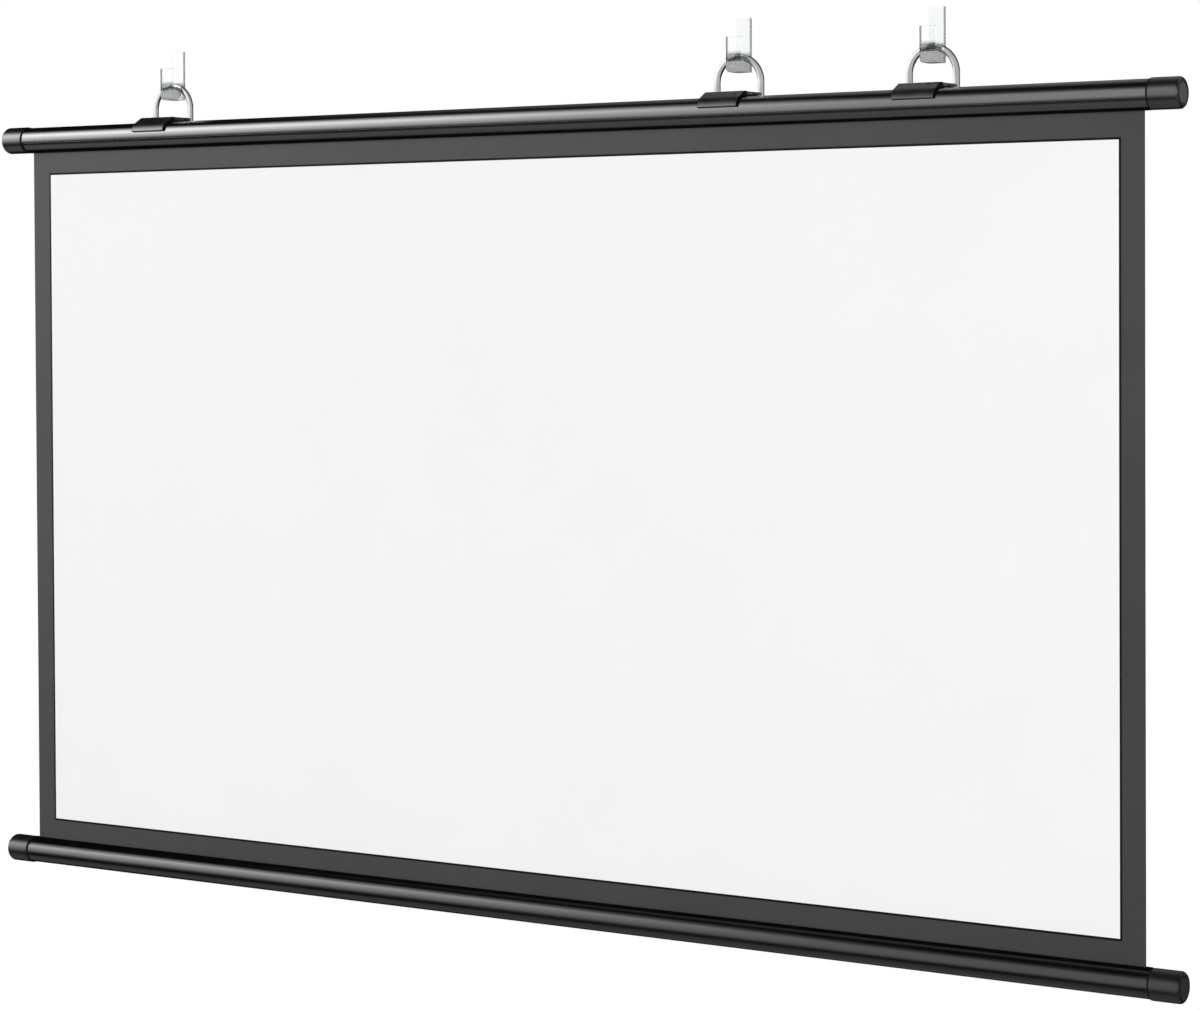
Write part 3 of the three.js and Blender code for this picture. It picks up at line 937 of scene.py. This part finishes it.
def rod_shell(side, z):
    """The rod in the sheet's pocket, with chamfered ends."""
    half = sheet_high[0]
    profile = [
        (-half, ROD_RADIUS - ROD_EDGE),
        (-half + ROD_EDGE, ROD_RADIUS),
        (half - ROD_EDGE, ROD_RADIUS),
        (half, ROD_RADIUS - ROD_EDGE)]
    return turned(profile, (BAR_Y, z - side * CHANNEL_DROP), ROD_SIDES)


def build_bar(row, side, z, groove, paint, plastic):
    """A bar with its caps and its rod. The slot is below on the top bar, side 1, and above on the
    bottom one, side -1."""
    body = f"{row}_bar"
    outline = set_on_bar(bar_outline(groove), side, z)
    bore = set_on_bar(bore_outline(), side, z)
    tube = pierced(outline, bore, -BAR_HALF, BAR_HALF)
    piece(f"{row}_bar_tube", tube, body, paint, f"{row}_tube")
    for name, end in (("left", -1), ("right", 1)):
        cap = cap_shell(end, side, z)
        piece(f"{row}_end_cap_{name}", cap, body, plastic, f"{row}_cap_{name}")
    piece(f"{row}_sheet_rod", rod_shell(side, z), body, rod, f"{row}_bead_rod")


# Hangers

def grip_outline():
    """The clip's grip about the bar's axis: an arc inside, and outside an arc that leaves at the
    shoulder for the flat top, which meets the tongue."""
    outer = GRIP_RADIUS + CLIP_WALL
    top = tongue_top()
    shoulder = math.radians(GRIP_SHOULDER)
    start = np.array([outer * math.cos(shoulder), outer * math.sin(shoulder)])
    reach = start[0] + (top - start[1]) / math.tan(shoulder - math.pi / 2)
    back = math.degrees(math.acos(GRIP_TOP_REACH / outer))
    return eased(outline_of(
        arc(GRIP_RADIUS, GRIP_FRONT, GRIP_BACK),
        arc(outer, GRIP_BACK, back),
        (GRIP_TOP_REACH, top),
        (reach, top),
        arc(outer, GRIP_SHOULDER, GRIP_FRONT)), GRIP_CORNER)


def tongue_top():
    """The clip's top above the bar's axis."""
    return node_box("clip_left")[1][2] - TOP_Z


def tongue_outline():
    """The tongue back to the wall with the barrel under it, and the hole for the ring's bar."""
    top = tongue_top()
    low = top - TONGUE_THICK
    ring_y = sum(part[1] for part in node_box("ring_left")) / 2
    centre = (ring_y - BAR_Y, top - BARREL_RADIUS)
    meet = math.degrees(math.asin((low - centre[1]) / BARREL_RADIUS))
    wall = -TONGUE_TO_WALL - BAR_Y
    outline = eased(outline_of(
        (TONGUE_SINK, low),
        arc(BARREL_RADIUS, 180 - meet, 360 + meet, 6, centre),
        (wall, low),
        (wall, top),
        (TONGUE_SINK, top)), TONGUE_CORNER)
    return outline, arc(BEARING_RADIUS, 0, 360, 6, centre)[:-1]


def clip_shell(x):
    """The grip over the bar and the narrower tongue, both carried along X."""
    shift = (BAR_Y, TOP_Z)
    grip = plate(grip_outline() + shift, x - CLIP_WIDTH / 2, x + CLIP_WIDTH / 2, CLIP_RIM)
    outline, bearing = tongue_outline()
    half = TONGUE_WIDTH / 2
    return joined(grip, pierced(outline + shift, bearing + shift, x - half, x + half))


def ring_shell(x, y, low, high):
    """An arch on two legs, with a round bar across the feet. At the turn w, 0 up the right leg and
    180 degrees down the left one, the section is an oval: u = band/2 * |cos a|^f outwards and
    v = depth/2 * |sin a|^f along Y, each with its sine's or cosine's sign, and drawn in towards
    the feet."""
    outer = (high[0] - low[0]) / 2
    inner = outer - RING_BAND
    arch = high[2] - outer
    foot = low[2]
    bend = np.linspace(0, math.pi / 2, 6)
    rise = foot + RING_FOOT_ROUND * (1 - np.cos(bend))
    tuck = 1 - RING_FOOT_TUCK * (1 - np.sin(bend))
    round_arch = np.radians(np.linspace(0, 180, 73))
    turn = np.concatenate([0 * bend, round_arch, 0 * bend + math.pi])[:, None]
    height = np.concatenate([rise, 0 * round_arch + arch, rise[::-1]])[:, None]
    size = np.concatenate([tuck, 0 * round_arch + 1, tuck[::-1]])[:, None]
    a = np.linspace(0, 2 * math.pi, RING_SIDES, endpoint=False)
    out, along = (np.sign(side) * np.abs(side) ** RING_FULLNESS for side in (np.cos(a), np.sin(a)))
    reach = (outer + inner) / 2 + size * RING_BAND / 2 * out
    depth = size * (high[1] - low[1]) / 2 * along
    band = skin(np.stack([x + reach * np.cos(turn), y + depth, height + reach * np.sin(turn)], -1))
    span = inner + RING_BAND / 2
    profile = [(x - span, RING_BAR_RADIUS), (x + span, RING_BAR_RADIUS)]
    return joined(band, turned(profile, (y, arch - RING_LEG_RISE), RING_SIDES))


def hook_outline(low, high):
    """The hook's J in (y, z): a tall plate at the wall, a trough on a thick base, a low lip."""
    front, base = low[1:]
    back, top = high[1:]
    y = back - HOOK_BACK - TROUGH_RADIUS
    lip = HOOK_LIP / 2
    small, large = HOOK_TOP_ROUND, HOOK_BASE_ROUND
    return eased(outline_of(
        arc(small, -90, 0, 15, (back - small, base + small)),
        (back, top),
        arc(small, 90, 180, 15, (y + TROUGH_RADIUS + small, top - small)),
        arc(TROUGH_RADIUS, 0, -180, 4, (y, 0)),
        arc(lip, 0, 180, 15, (y - TROUGH_RADIUS - lip, LIP_HEIGHT - lip)),
        arc(large, 180, 270, 6, (front + large, base + large))), HOOK_CORNER)


def pad_shell(low, high):
    """The adhesive pad: a plate with round corners, a hair off the hook's back."""
    corner = PAD_CORNER
    outline = outline_of(
        arc(corner, -90, 0, 10, (high[0] - corner, low[2] + corner)),
        arc(corner, 0, 90, 10, (high[0] - corner, high[2] - corner)),
        arc(corner, 90, 180, 10, (low[0] + corner, high[2] - corner)),
        arc(corner, 180, 270, 10, (low[0] + corner, low[2] + corner)))
    return on_y(plate(outline[::-1, ::-1], low[1] + PAD_GAP, high[1], PAD_EDGE))


def mark_across(made, shell, x, width):
    """Gives a piece the attribute "across", which runs from -1 to 1 over its width."""
    across = (shell[0][:, 0] - x) / (width / 2)
    made.data.attributes.new("across", "FLOAT", "POINT").data.foreach_set("value", across)


def build_hanger(name):
    """A hanger from the wall to the bar: pad, hook, ring and clip."""
    low, high = node_box(f"ring_{name}")
    x, y = (low[0] + high[0]) / 2, (low[1] + high[1]) / 2
    shell = pad_shell(*node_box(f"hook_pad_{name}"))
    piece(f"gel_pad_{name}", shell, "wall_hooks", gel, f"hook_pad_{name}")
    hook_low, hook_high = node_box(f"wall_hook_{name}")
    shell = plate(hook_outline(hook_low, hook_high), hook_low[0], hook_high[0], HOOK_EDGE)
    hook = piece(
        f"clear_hook_{name}", shell, "wall_hooks", clear, f"wall_hook_{name}")
    mark_across(hook, shell, x, HOOK_WIDTH)
    shell = ring_shell(x, y, low, high)
    piece(f"steel_ring_{name}", shell, f"{name}_ring", steel, f"ring_{name}")
    shell = clip_shell(x)
    clip = piece(
        f"bar_clip_{name}", shell, f"{name}_clip", clip_paint, f"clip_{name}")
    mark_across(clip, shell, x, CLIP_WIDTH)


hang_sheet()
build_bar("top", 1, TOP_Z, TOP_GROOVE, top_paint, top_cap_plastic)
build_bar("bottom", -1, BOTTOM_Z, BOTTOM_GROOVE, bottom_paint, bottom_cap_plastic)
for hanger in HANGERS:
    build_hanger(hanger)

bpy.context.scene.view_settings.view_transform = "Standard"

bpy.context.view_layer.update()
